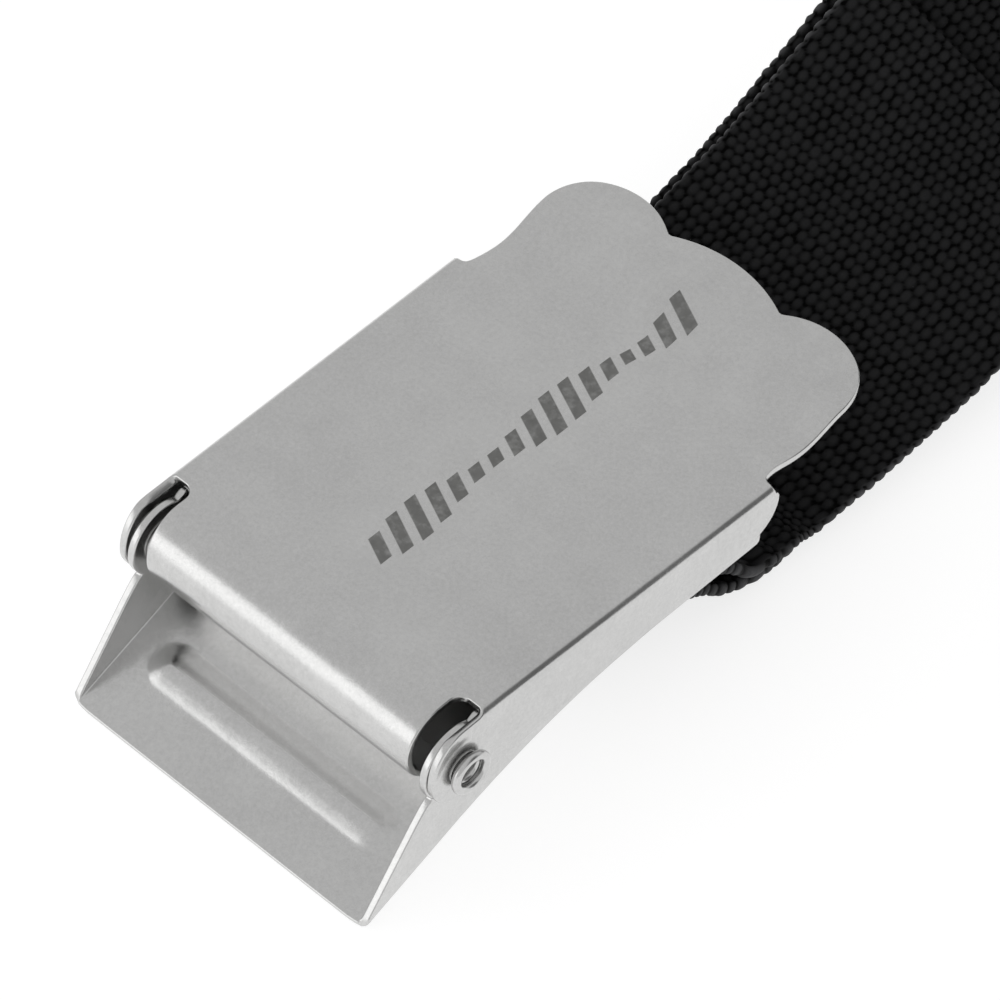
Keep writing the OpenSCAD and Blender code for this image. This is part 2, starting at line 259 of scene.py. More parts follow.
# the cam runs from the roll to its teeth, which stop about 1 mm above the frame's sheet
TO_RAMP = HINGE_Z * math.cos(RAMP_A) - HINGE_Y * math.sin(RAMP_A) - SHEET
TOOTH_R = TO_RAMP - 1.0
TOOTH_Y = HINGE_Y + TOOTH_R * math.sin(RAMP_A)
TOOTH_Z = HINGE_Z - TOOTH_R * math.cos(RAMP_A)
CAM_D = math.hypot(TOOTH_Y - ROLL_CY, TOOTH_Z - ROLL_CZ)
CAM_A = math.atan2(TOOTH_Z - ROLL_CZ, TOOTH_Y - ROLL_CY) + math.asin(ROLL_R / CAM_D)
CAM_L = math.sqrt(CAM_D ** 2 - ROLL_R ** 2)
TURN = math.pi + CAM_A
ROLL_END = ROLL_CY - ROLL_R * TURN
CAM_END = ROLL_END - CAM_L


def tab_height(s):
    """The finger tab dips behind the plate and rises to its end."""
    t = np.clip((s - SHOULDER_Y) / (TAB_END + 1 - SHOULDER_Y), 0, 1)
    dip = np.sin(math.pi * np.minimum(t / 0.62, 1)) ** 2
    return -TAB_DIP * dip + TAB_RISE * (np.maximum(t - 0.45, 0) / 0.55) ** 2


def place_lever(u, s, h):
    """h is outwards: 0 is the plate's upper and the skirts' outer face, -SHEET the other one."""
    au, side = np.abs(u), np.sign(u)
    # plate, roll and cam
    a = np.maximum(ROLL_CY - s, 0)
    bend = np.minimum(a / ROLL_R, TURN)
    phi = math.pi / 2 + bend
    past = np.maximum(a - ROLL_R * TURN, 0)
    ny, nz = np.cos(phi), np.sin(phi)
    y = ROLL_CY + ROLL_R * ny + past * math.cos(CAM_A)
    z = ROLL_CZ + ROLL_R * nz + past * math.sin(CAM_A)
    plate = s > ROLL_CY
    slope = (tab_height(s + 0.05) - tab_height(s - 0.05)) / 0.1
    size = np.sqrt(1 + slope ** 2)
    y = np.where(plate, s, y)
    z = np.where(plate, TOP_Z + tab_height(s), z)
    ny = np.where(plate, -slope / size, ny)
    nz = np.where(plate, 1 / size, nz)
    flat = np.stack([u, y + h * ny, z + h * nz], 1)
    # folds and skirts, with the coined ring round the rivet
    psi = np.clip((au - FOLD_U) / FOLD_R, 0, math.pi / 2)
    drop = np.maximum(au - FOLD_END, 0)
    z = TOP_Z - FOLD_R + FOLD_R * np.cos(psi) - drop
    ring = np.hypot(s - HINGE_Y, z - HINGE_Z)
    raised = h + RING_H * (1 - smoothstep(RING_IN, RING_OUT, ring)) * (psi > 1.5)
    x = side * (FOLD_U + (FOLD_R + raised) * np.sin(psi))
    skirt = np.stack([x, s, z + raised * np.cos(psi)], 1)
    # the flare grows to the rear of the right side and fades along the tab
    flare = FLARE * np.interp(s, (24, 74, 76, 92), (0, 1, 0.95, 0)) * smoothstep(16, 27, u)
    aside = LEVER_X - YAW * (s - HINGE_Y) + flare
    folded = (au > FOLD_U) & (s < SHOULDER_Y + 2.4)
    return np.where(folded[:, None], skirt, flat) + np.stack([aside, 0 * s, 0 * s], 1)


def skirt_u(z):
    """How far out in the flat pattern the height z lies on the fold or the skirt."""
    if z <= TOP_Z - FOLD_R:
        return FOLD_END + TOP_Z - FOLD_R - z
    return FOLD_U + FOLD_R * math.acos(min(1, (z - TOP_Z + FOLD_R) / FOLD_R))


def lobe_line(x):
    """Rear edge of the finger tab: the middle lobe and one outer lobe, with a soft valley between them."""
    def crown(top, middle, r):
        return top - r + math.sqrt(max(r * r - (abs(x) - middle) ** 2, 0))
    a, b = crown(TAB_END, 0, MIDDLE_LOBE_R), crown(TAB_END - 0.1, LOBE_X, LOBE_R)
    return max(a, b) + max(0.5 - abs(a - b), 0) ** 2 / 2


def lever_outline():
    """Right half of the flat pattern, from the middle of the cam's teeth to the middle of the tab."""
    pitch, depth = 1.6, 0.8
    teeth = []
    for i in range(16):
        teeth += [(i * pitch, CAM_END + depth), (i * pitch + pitch / 2, CAM_END)]
    right = [p for p in teeth if p[0] < 24.2] + [(24.4, CAM_END + 0.1)]
    # sides of the cam and the roll, a little wider towards the plate
    right += [(24.0, CAM_END + 3), (24.0, 0.0), (24.05, 4.0), (24.1, 8.0), (24.2, 12.0), (24.3, 16.0)]
    # notch between the roll and the lug
    right += arc(26.1, 19.3, 1.8, 1.8, 180, 90, 9)
    right += arc(skirt_u(27.45) - 1.2, 19.9, 1.2, 1.2, 90, 0, 8)
    # lug round the rivet
    for t in np.linspace(90, 268, 40):
        c, q = math.cos(math.radians(t)), math.sin(math.radians(t))
        right.append((skirt_u(HINGE_Z + (LUG_TOP if q > 0 else LUG_R) * q), HINGE_Y + LUG_R * c))
    # skirt's lower edge, its rounded rear corner and the shoulder
    right.append((skirt_u(SKIRT_Z), SKIRT_Y - SKIRT_ROUND - 0.3))
    for t in range(8, 84, 8):
        a = math.radians(t)
        right.append((skirt_u(26 - 6.2 * math.cos(a)), SKIRT_Y - SKIRT_ROUND + SKIRT_ROUND * math.sin(a)))
    right += [(skirt_u(25.8), SKIRT_Y - 0.05), (skirt_u(26.4), 75.15), (FOLD_END, 74.8),
              (FOLD_U + 1.1, SHOULDER_Y), (FOLD_U - 0.05, SHOULDER_Y - 0.02)]
    # the tab's neck and its side
    right += [(27.3, SHOULDER_Y + 0.06), (26.95, SHOULDER_Y + 0.3), (26.75, SHOULDER_Y + 0.75),
              (26.6, SHOULDER_Y + 1.5), (26.55, 77.5), (26.62, 79.0), (26.8, 81.2), (27.0, 83.6),
              (27.18, 86.0), (27.3, 88.2)]
    # the outer lobe: a corner arc of its own, then the lobes' line
    join = math.acos((TAB_HALF - LOBE_CORNER - LOBE_X) / (LOBE_R - LOBE_CORNER))
    corner_y = TAB_END - 0.1 - LOBE_R + (LOBE_R - LOBE_CORNER) * math.sin(join)
    right += arc(TAB_HALF - LOBE_CORNER, corner_y, LOBE_CORNER, LOBE_CORNER, 0, math.degrees(join), 22)
    right += [(x, lobe_line(x)) for x in np.linspace(LOBE_X + LOBE_R * math.cos(join) - 0.3, 0, 56)]
    return right


def lever_fill():
    """Points inside the flat pattern: closer together on the roll, the folds and the coined rings."""
    fill = [grid(-27.3, 27.3, 2.1, 21, 74.4, 2.2), grid(-27.6, 27.6, 1.2, 75.6, 99.4, 0.7),
            grid(-24.9, 24.9, 2.4, ROLL_END - 0.6, ROLL_CY + 0.6, 0.26),
            grid(-24.2, 24.2, 1.8, CAM_END + 1.2, ROLL_END - 1, 1.2)]
    hinge_u = skirt_u(HINGE_Z)
    skirt = np.vstack([grid(FOLD_U - 0.12, FOLD_END + 0.12, 0.2, 12, 74.5, 1.3),
                       grid(FOLD_END + 1, FOLD_END + 13, 1.6, 11, 75.5, 1.6)])
    from_hinge = np.hypot(skirt[:, 0] - hinge_u, skirt[:, 1] - HINGE_Y)
    skirt = skirt[(from_hinge > 6.1) | (skirt[:, 0] < FOLD_END)]
    for r in (2.9, 3.6, 4.3, 4.65, 4.8, 4.95, 5.1, 5.25, 5.4, 5.55, 5.8):
        skirt = np.vstack([skirt, np.array(arc(hinge_u, HINGE_Y, r, r, 0, 355, 72))])
    return np.vstack(fill + [skirt * (-1, 1), skirt])


loop = resample(mirrored(lever_outline()), 0.8)
hole = np.array(arc(skirt_u(HINGE_Z), HINGE_Y, LUG_HOLE, LUG_HOLE, 0, 354, 60))
edge = np.where(loop[:, 1] < CAM_END + 1.5, 0.06, 0.3)  # sharp on the teeth
lever = sheet_part("lever_sheet", [loop, hole, hole * (-1, 1)], lever_fill(), place_lever,
                   [edge, 0.1, 0.1], LEVER, ["lever"])

# ------------------------------------------------------------------ frame
# Its flat pattern has u across and s along the floor, from the lip; the walls lie beyond BEND_END.
BEND_R = 1.4
BEND_U = FRAME_HALF - BEND_R
BEND_END = BEND_U + BEND_R * math.pi / 2
ARC_R = (FLOOR_Z - RAMP_L * math.tan(RAMP_A)) / (1 - math.cos(RAMP_A))
ARC_Y = RAMP_L + ARC_R * math.sin(RAMP_A)
ARC_Z = FLOOR_Z - ARC_R
S_RAMP = RAMP_L / math.cos(RAMP_A)
S_ARC = S_RAMP + ARC_R * RAMP_A
EAR_R, EAR_HOLE = 5.9, 2.4
FRONT_SLOT, REAR_SLOT, SLOT_HALF = (48, 54), (61.5, 68.5), 25.6  # the belt's slots from y to y
BEAD_S, BEAD_HALF, BEAD_FOOT, BEAD_H = 10.8 / math.cos(RAMP_A), 18.6, 3.7, 0.95
# the bead's height over the distance from its middle, negative in front
BEAD_PROFILE = soft_line([(-6, 0), (-BEAD_FOOT, 0), (-2.6, 0.43), (-1.5, 0.79), (-0.6, BEAD_H),
                          (0.2, BEAD_H), (1.6, 0.42), (3.6, 0), (6, 0)], 0.3)


def floor_path(s):
    """Place (y, z) and slope of the floor's underside: ramp, arc, flat."""
    theta = np.clip(RAMP_A - (s - S_RAMP) / ARC_R, 0, RAMP_A)
    y = np.where(s < S_RAMP, s * math.cos(RAMP_A), ARC_Y - ARC_R * np.sin(theta))
    z = np.where(s < S_RAMP, s * math.sin(RAMP_A), ARC_Z + ARC_R * np.cos(theta))
    y = np.where(s > S_ARC, ARC_Y + s - S_ARC, y)
    z = np.where(s > S_ARC, FLOOR_Z, z)
    return y, z, theta


def from_bead(u, s):
    """Distance from the bead's middle line, which ends at BEAD_HALF on either side."""
    return np.hypot(np.maximum(np.abs(u) - BEAD_HALF, 0), s - BEAD_S)


def bead_height(u, s):
    """The pressed bead: a steep front, and a top that falls away behind; its ends are rounded."""
    d = from_bead(u, s)
    ahead = 0.5 + 0.5 * (BEAD_S - s) / np.maximum(d, 1e-6)
    return ahead * np.interp(-d, *BEAD_PROFILE) + (1 - ahead) * np.interp(d, *BEAD_PROFILE)


def place_frame(u, s, h):
    """h is outwards: 0 is the underside and the walls' outer face, -SHEET the inner face."""
    au, side = np.abs(u), np.sign(u)
    y0, z0, a = floor_path(s)
    psi = np.clip((au - BEND_U) / BEND_R, 0, math.pi / 2)
    x = np.where(au > BEND_U, BEND_U + (BEND_R + h) * np.sin(psi), au)
    up = np.where(au > BEND_U, BEND_R - (BEND_R + h) * np.cos(psi), -h) + np.maximum(au - BEND_END, 0)
    up = up + bead_height(u, s) * (au < BEND_U)
    return np.stack([side * x, y0 - up * np.sin(a), z0 + up * np.cos(a)], 1)


def wall_point(y, z):
    """Flat pattern place (u, s) of a point (y, z) on the wall."""
    s, up = y * math.cos(RAMP_A) + z * math.sin(RAMP_A), -y * math.sin(RAMP_A) + z * math.cos(RAMP_A)
    if s > S_RAMP:
        theta = math.atan2(ARC_Y - y, z - ARC_Z)
        if theta > 0:
            s, up = S_RAMP + ARC_R * (RAMP_A - theta), math.hypot(ARC_Y - y, z - ARC_Z) - ARC_R
        else:
            s, up = S_ARC + y - ARC_Y, z - FLOOR_Z
    if up < BEND_R:
        return BEND_U + BEND_R * math.acos(1 - max(up, 0) / BEND_R), s
    return BEND_END + up - BEND_R, s


def floor_s(y):
    """Flat pattern place s of a point y on the floor behind the ramp."""
    if y > ARC_Y:
        return S_ARC + y - ARC_Y
    return S_RAMP + ARC_R * (RAMP_A - math.asin((ARC_Y - y) / ARC_R))


def frame_outline():
    """Right half of the flat pattern: lip, side view of nose, ear and wall, rear edge of the floor."""
    lip = [(0, 0), (20, 0), (24.3, 0.02), (25.6, 0.12), (26.6, 0.3)]
    side = [(0.35, 1.65), (2.5, 4.4), (6, 8.9), (9.4, 13.27), (10.6, 14.7), (11.5, 15.7), (12.2, 16.3)]
    side += arc(HINGE_Y, HINGE_Z, EAR_R, EAR_R, 222, 62, 44)
    side += [(y, WALL_Z) for y in (20.9, 40, 60, 70.2)]
    side += [(70.9, 25.8), (73.7, 20.0), (74.2, 18.9), (74.4, 17.6), (74.4, 16.6)]
    side += arc(72.4, 16.3, 2.0, 2.0, 0, -60, 6)
    rear = [(BEND_U - 0.6, floor_s(74.1)), (BEND_U - 2, floor_s(74.3)), (0, floor_s(74.3))]
    return lip + [wall_point(*p) for p in side] + rear


def slot_loop(y0, y1, w=SLOT_HALF, r=0.8):
    """A belt slot in the floor from y0 to y1, w to either side, with corners of radius r."""
    s0, s1 = floor_s(y0), floor_s(y1)
    pts = arc(w - r, s1 - r, r, r, 0, 90, 5) + arc(-w + r, s1 - r, r, r, 90, 180, 5)
    pts += arc(-w + r, s0 + r, r, r, 180, 270, 5) + arc(w - r, s0 + r, r, r, 270, 360, 5)
    return resample(np.array(pts), 1.0)


def frame_fill():
    """Points inside the flat pattern: closer together on the bead and the folds."""
    ramp = grid(-25.2, 25.2, 2.1, 1, S_RAMP - 0.1, 2)
    floor_grid = grid(-25.2, 25.2, 2.1, S_RAMP, floor_s(74), 2)
    bead = grid(-24, 24, 0.45, BEAD_S - 4.4, BEAD_S + 4.4, 0.3)
    wall = np.vstack([grid(BEND_U - 0.1, BEND_END + 0.1, 0.3, 1.2, floor_s(73.8), 1.4),
                      grid(BEND_END + 1, BEND_END + 20, 1.8, 2, floor_s(74.2), 1.8)])
    return np.vstack([ramp[from_bead(*ramp.T) > 4.2], floor_grid, bead[from_bead(*bead.T) < 4.1],
                      wall * (-1, 1), wall])


loop = resample(mirrored(frame_outline()), 0.8)
hole = np.array([wall_point(*p) for p in arc(HINGE_Y, HINGE_Z, EAR_HOLE, EAR_HOLE, 0, 354, 60)])
loops = [loop, hole, hole * (-1, 1), slot_loop(*FRONT_SLOT), slot_loop(*REAR_SLOT)]
base = sheet_part("frame_sheet", loops, frame_fill(), place_frame, [0.28, 0.08, 0.08, 0.35, 0.35], ROOT,
                  ["frame"])


# ------------------------------------------------------------------ rivets
def rivet(name, side, node):
    """A semi-tubular rivet along X: its head inside, its hollow end with a rolled lip outside."""
    rng = np.random.default_rng(11 if side > 0 else 12)
    # outline from the head's middle to the hollow's middle: distance from the belt's middle, radius
    lip_x, lip_r, lip_middle = 29.99, 0.68, 2.72
    head = [(25.52, 0.0), (25.5, 2.6), (25.56, 3.1), (25.75, 3.45), (26.0, 3.6), (26.2, 3.6), (26.29, 3.5)]
    shank = [(26.3, 2.39), (28.2, 2.39), (29.2, 2.39)]
    lip = [(lip_x + lip_r * math.cos(math.radians(a)), lip_middle + lip_r * math.sin(math.radians(a)))
           for a in range(200, -201, -20)]
    hollow = [(29.5, 1.86), (28.8, 1.78), (27.4, 1.75), (27.25, 1.6), (27.2, 0.0)]
    profile = head + shank + lip + hollow
    segs = 72
    uneven = 0.02 * np.convolve(rng.normal(size=segs * 3), np.ones(5) / 5, "same")[segs:2 * segs]
    verts, faces = [], []
    for x, r in profile:
        for i in range(segs):
            a = 2 * math.pi * i / segs
            lift = uneven[i] if x > 29.4 and r > 2.0 else 0
            verts.append((side * (x + lift), HINGE_Y + (r + lift) * math.cos(a),
                          HINGE_Z + (r + lift) * math.sin(a)))
    for k in range(len(profile) - 1):
        for i in range(segs):
            j = (i + 1) % segs
            q = (k * segs + i, k * segs + j, (k + 1) * segs + j, (k + 1) * segs + i)
            faces.append(q if side < 0 else q[::-1])
    return make(name, verts, faces, ROOT, [node])


rivets = [rivet("rivet_r", 1, "rivet_right"), rivet("rivet_l", -1, "rivet_left")]

# ------------------------------------------------------------------ belt path, as in the CAD
# x, y, z and tilt in degrees: the run behind the buckle twists until the belt stands on its edge
RUN = [(0.3, 75, 4.2, 0), (-0.2, 80, 3.1, 1), (-0.9, 86, 3.4, 3.5), (-1.0, 92, 4.7, 6.5),
       (-0.6, 102, 7.8, 12), (-0.4, 112, 10.4, 17), (-0.4, 122, 12.9, 22), (-1.2, 132, 15.5, 27),
       (-2.2, 142, 18.4, 32), (-3.1, 152, 21.1, 38)]
AWAY = [(-3.5, 164, 23.6, 46), (-3.1, 176, 24.9, 57), (-2.3, 188, 25.8, 69), (-1.3, 200, 26.2, 81),
        (-1, 212, 26.2, 90), (-1, 222, 26.2, 90)]
TAIL_SHIFT = 0.8, 1.5  # how far right the tail lies, at the buckle and along the run
PLAY = 0.15  # between belt and floor
TURN_Y = FRONT_SLOT[1] + 0.35  # where the belt turns round the centre bar
UNDER = FLOOR_Z - PLAY - WEB_T / 2
OVER = FLOOR_Z + SHEET + PLAY + WEB_T / 2
LOOP_R = (OVER - UNDER) / 2
COIL_X, COIL_Y, COIL_Z = -1 - WEB_T / 2 + ROLL_OUT, 222.0, TIE_T + 0.2
COIL_STEP = 2.14


def spline(p, n):
    """A smooth path through the points p, n steps from each to the next."""
    p = np.asarray(p, float)
    out = []
    for i in range(len(p) - 1):
        a, b, c, d = p[max(i - 1, 0)], p[i], p[i + 1], p[min(i + 2, len(p) - 1)]
        for k in range(n):
            t = k / n
            out.append(0.5 * (2 * b + (c - a) * t + (2 * a - 5 * b + 4 * c - d) * t * t
                              + (3 * b - a - 3 * c + d) * t ** 3))
    out.append(p[-1])
    return np.array(out)


def frames(p):
    """Centre, width and inner-side vectors of a path with x, y, z and tilt, left side up."""
    c, tilt = p[:, :3], np.radians(p[:, 3])
    t = np.gradient(c, axis=0)
    t /= np.linalg.norm(t, axis=1)[:, None]
    w = np.stack([np.cos(tilt), 0 * tilt, -np.sin(tilt)], 1)
    w -= (w * t).sum(1)[:, None] * t
    w /= np.linalg.norm(w, axis=1)[:, None]
    return c, w, np.cross(w, t)


def even(points, step):
    """Resamples a path by its length; the columns after the first three ride along."""
    d = np.r_[0, np.cumsum(np.linalg.norm(np.diff(points[:, :3], axis=0), axis=1))]
    n = max(2, int(round(d[-1] / step)) + 1)
    at = np.linspace(0, d[-1], n)
    return np.stack([np.interp(at, d, points[:, k]) for k in range(points.shape[1])], 1)


def soften(values, n):
    """A running mean over 2 n + 1 rows that keeps both ends."""
    out = np.empty_like(values)
    for k, v in enumerate(values.T):
        pad = np.r_[2 * v[0] - v[n:0:-1], v, 2 * v[-1] - v[-2:-n - 2:-1]]
        out[:, k] = np.convolve(pad, np.ones(2 * n + 1) / (2 * n + 1), "valid")
    return out


def belt_path():
    """Tail end, over the centre bar, back under it and out along the run."""
    low = spline(RUN, 24)
    c, _, n = frames(low)
    aside = np.interp(c[:, 1], (78, 92), TAIL_SHIFT)[:, None] * np.array([1, 0, 0])
    tail = np.column_stack([c + n * LAY + aside, low[:, 3]])[::-1]
    over = spline([(0.6, 72.2, UNDER - 3.5, 0), (0.3, 69, UNDER - 1.0, 0), (0, 65.2, 14.45, 0),
                   (0, 61.8, OVER, 0), (0, 59, OVER, 0)], 16)
    turn = [(0, y, z, 0) for y, z in arc(TURN_Y, (OVER + UNDER) / 2, LOOP_R, LOOP_R, 90, 270, 31)]
    under = spline([(0, 58, UNDER, 0), (0, 62, UNDER - 1.2, 0), (0, 66.2, UNDER - 3.4, 0),
                    (0.2, 70.2, UNDER - 6.6, 0)], 16)
    return np.vstack([tail, over, turn, under, spline(RUN + AWAY, 24)])


def coil(first, last):
    """Points of the stored roll between two counts of turns from its outside."""
    k = np.linspace(first, last, int((last - first) * 300) + 1)
    a = math.pi * (1 + 2 * k)
    r = ROLL_OUT - WEB_T / 2 - COIL_STEP * k
    return np.stack([COIL_X + r * np.cos(a), COIL_Y - r * np.sin(a), np.full(len(k), COIL_Z + WEB_W / 2),
                     np.full(len(k), 90.0)], 1)


# ------------------------------------------------------------------ webbing
PITCH_U, PITCH_S = 1.61, 1.85  # of the weave's floats across and along the belt
RELIEF = 0.5  # height of the floats
SEAM = 0.6  # how far before the edge the faces end and the selvedge begins
BEAD_RISE = 0.36  # height of the selvedge's beads


def weave_height(u, s, seed):
    """Height of the woven face above its base, 0 to 1: a brick pattern of round floats."""
    rng = np.random.default_rng(seed)
    rows = int(np.max(s) / PITCH_S) + 4
    cols = int(WEB_W / PITCH_U) + 6
    size = 1 + 0.03 * rng.normal(size=(rows, cols))
    du = 0.05 * rng.normal(size=(rows, cols))
    ds = 0.05 * rng.normal(size=(rows, cols))
    drift = np.cumsum(rng.normal(size=rows)) * 0.02
    best = np.zeros_like(u)
    for dj in (-1, 0, 1):
        j = np.clip(np.floor(s / PITCH_S).astype(int) + dj, 0, rows - 1)
        uu = u + WEB_W / 2 + (j % 2) * PITCH_U / 2 + drift[j]
        i = np.floor(uu / PITCH_U).astype(int)
        for di in (-1, 0, 1):
            k = np.clip(i + di, 0, cols - 1)
            a = (uu - (k + 0.5) * PITCH_U + du[j, k]) / (0.54 * PITCH_U * size[j, k])
            b = (s - (j + 0.5) * PITCH_S + ds[j, k]) / (0.62 * PITCH_S * size[j, k])
            best = np.maximum(best, np.sqrt(np.maximum(1 - a * a - b * b, 0)) * size[j, k])
    return best


def strap(name, path, seed, across, replaces):
    """A woven strap along path: two bumpy faces and beaded edges, as one closed mesh."""
    c, w, n = frames(path)
    rows = len(path)
    s = np.r_[0, np.cumsum(np.linalg.norm(np.diff(c, axis=0), axis=1))]
    half, r = WEB_W / 2, WEB_T / 2
    us = np.linspace(SEAM - half, half - SEAM, across)
    uu, ss = np.meshgrid(us, s, indexing="ij")
    top = weave_height(uu.ravel(), ss.ravel(), seed).reshape(uu.shape)
    low = weave_height(uu.ravel(), (ss + PITCH_S / 2).ravel(), seed + 1).reshape(uu.shape)
    # selvedge: beads that follow the rows
    bead = np.abs(np.sin(math.pi * s / PITCH_S)) ** 0.6
    rng = np.random.default_rng(seed + 2)
    uneven = np.convolve(rng.normal(size=rows + 40), np.ones(5) / 5, "same")[20:20 + rows] * 0.1
    out, thick = 0.28 + BEAD_RISE * bead + uneven, r - 0.42 + BEAD_RISE * bead
    turns = [math.pi * k / 9 for k in range(1, 9)]
    # the section's points in order: upper face, right edge, lower face, left edge
    cols = [(np.full(rows, u), r - RELIEF + RELIEF * h) for u, h in zip(us, top)]
    cols += [(half - SEAM + out * math.sin(a), thick * math.cos(a)) for a in turns]
    cols += [(np.full(rows, u), -(r - RELIEF + RELIEF * h)) for u, h in zip(us[::-1], low[::-1])]
    cols += [(SEAM - half - out * math.sin(a), -thick * math.cos(a)) for a in turns]
    m, side = len(cols), len(turns)
    verts = np.empty((rows, m, 3))
    for k, (u, h) in enumerate(cols):
        verts[:, k] = c + w * u[:, None] + n * h[:, None]
    index = np.arange(rows * m).reshape(rows, m)
    a, b = index[:-1], index[1:]
    quads = np.stack([a, np.roll(a, -1, 1), np.roll(b, -1, 1), b], -1).reshape(-1, 4)
    faces = [tuple(q) for q in quads]
    # flat ends: quads between the two faces and one fan at each selvedge
    for end, flip in ((index[0], False), (index[-1], True)):
        top_row, low_row = end[:across], end[across + side:2 * across + side][::-1]
        for k in range(across - 1):
            f = (top_row[k], low_row[k], low_row[k + 1], top_row[k + 1])
            faces.append(f if not flip else f[::-1])
        for block, corner in ((end[across:across + side], (top_row[-1], low_row[-1])),
                              (end[2 * across + side:], (low_row[0], top_row[0]))):
            fan = [corner[0], *block, corner[1]]
            faces.append(tuple(fan[::-1]) if not flip else tuple(fan))
    obj = make(name, verts.reshape(-1, 3), faces, ROOT, replaces)
    point_layer(obj, "across", np.tile([np.mean(u) for u, _ in cols], rows))
    point_layer(obj, "along", np.repeat(s, m))
    # height of the floats and the selvedge's beads, which the material turns into painted shade between
    # them and painted light on their tops
    raised = np.repeat(bead[:, None], m, 1)
    raised[:, :across] = top.T
    raised[:, across + side:2 * across + side] = low.T[:, ::-1]
    point_layer(obj, "raised", raised.ravel())
    return obj, s[-1]


# the strap piece ends after the first turn of the roll, and the stored piece follows it
path = even(np.vstack([belt_path(), coil(0.004, 1.02)]), 0.3)
path[:, :3] = soften(path[:, :3], 3)
webbing, length = strap("webbing_strap", path, 5, 168, ["webbing"])

path = even(coil(1.025, 8.6), 0.62)
stored, length = strap("webbing_stored", path, 21, 56, ["webbing_roll"])


# ------------------------------------------------------------------ tie round the roll
def tie():
    """A hook-and-loop strap through the roll's hollow and round its wall, its end laid over itself."""
    inner = math.sqrt(ROLL_CORE ** 2 - TIE_W ** 2 / 4)
    x0, x1 = COIL_X + inner - 0.2 - TIE_T / 2, COIL_X + ROLL_OUT + 0.2 + TIE_T / 2
    z0, z1 = TIE_T / 2, WEB_W + 1.5 * TIE_T + 0.4
    r = 2.2
    pts = [(x1, 20.0), *arc(x1 - r, z1 - r, r, r, 0, 90, 9), *arc(x0 + r, z1 - r, r, r, 90, 180, 9),
           *arc(x0 + r, z0 + r, r, r, 180, 270, 9), *arc(x1 - r, z0 + r, r, r, 270, 360, 9)]
    pts += [(x1, 12.0), (x1 + 0.5, 16.5), (x1 + 1.05, 19.5), (x1 + 1.05, 36.0)]
    p = even(np.array([(x, COIL_Y, z) for x, z in pts]), 0.5)
    t = np.gradient(p, axis=0)
    t /= np.linalg.norm(t, axis=1)[:, None]
    width = np.array([0, 1.0, 0])
    n = np.cross(t, width)
    # its section: two faces with thin rounded sides
    rng = np.random.default_rng(31)
    half, e, count = TIE_W / 2, TIE_T / 2 - 0.02, 28
    face = [-half + 0.5 + (TIE_W - 1) * k / (count - 1) for k in range(count)]
    ring = [(u, e) for u in face]
    ring += [(half - 0.15, e * 0.7), (half, 0), (half - 0.15, -e * 0.7)]
    ring += [(u, -e) for u in reversed(face)]
    ring += [(-half + 0.15, -e * 0.7), (-half, 0), (-half + 0.15, e * 0.7)]
    m, rows = len(ring), len(p)
    verts = np.empty((rows, m, 3))
    for k, (u, h) in enumerate(ring):
        fuzz = 0.05 * rng.normal(size=rows) * (abs(h) > 0.3)
        verts[:, k] = p + width * u + n * (h + fuzz)[:, None]
    index = np.arange(rows * m).reshape(rows, m)
    faces = []
    for a, b in zip(index, index[1:]):
        for k in range(m):
            j = (k + 1) % m
            faces.append((a[k], a[j], b[j], b[k]))
    faces += [tuple(index[0][::-1]), tuple(index[-1])]
    return make("tie_band", verts.reshape(-1, 3), faces, ROOT, ["roll_tie"])


tie_band = tie()


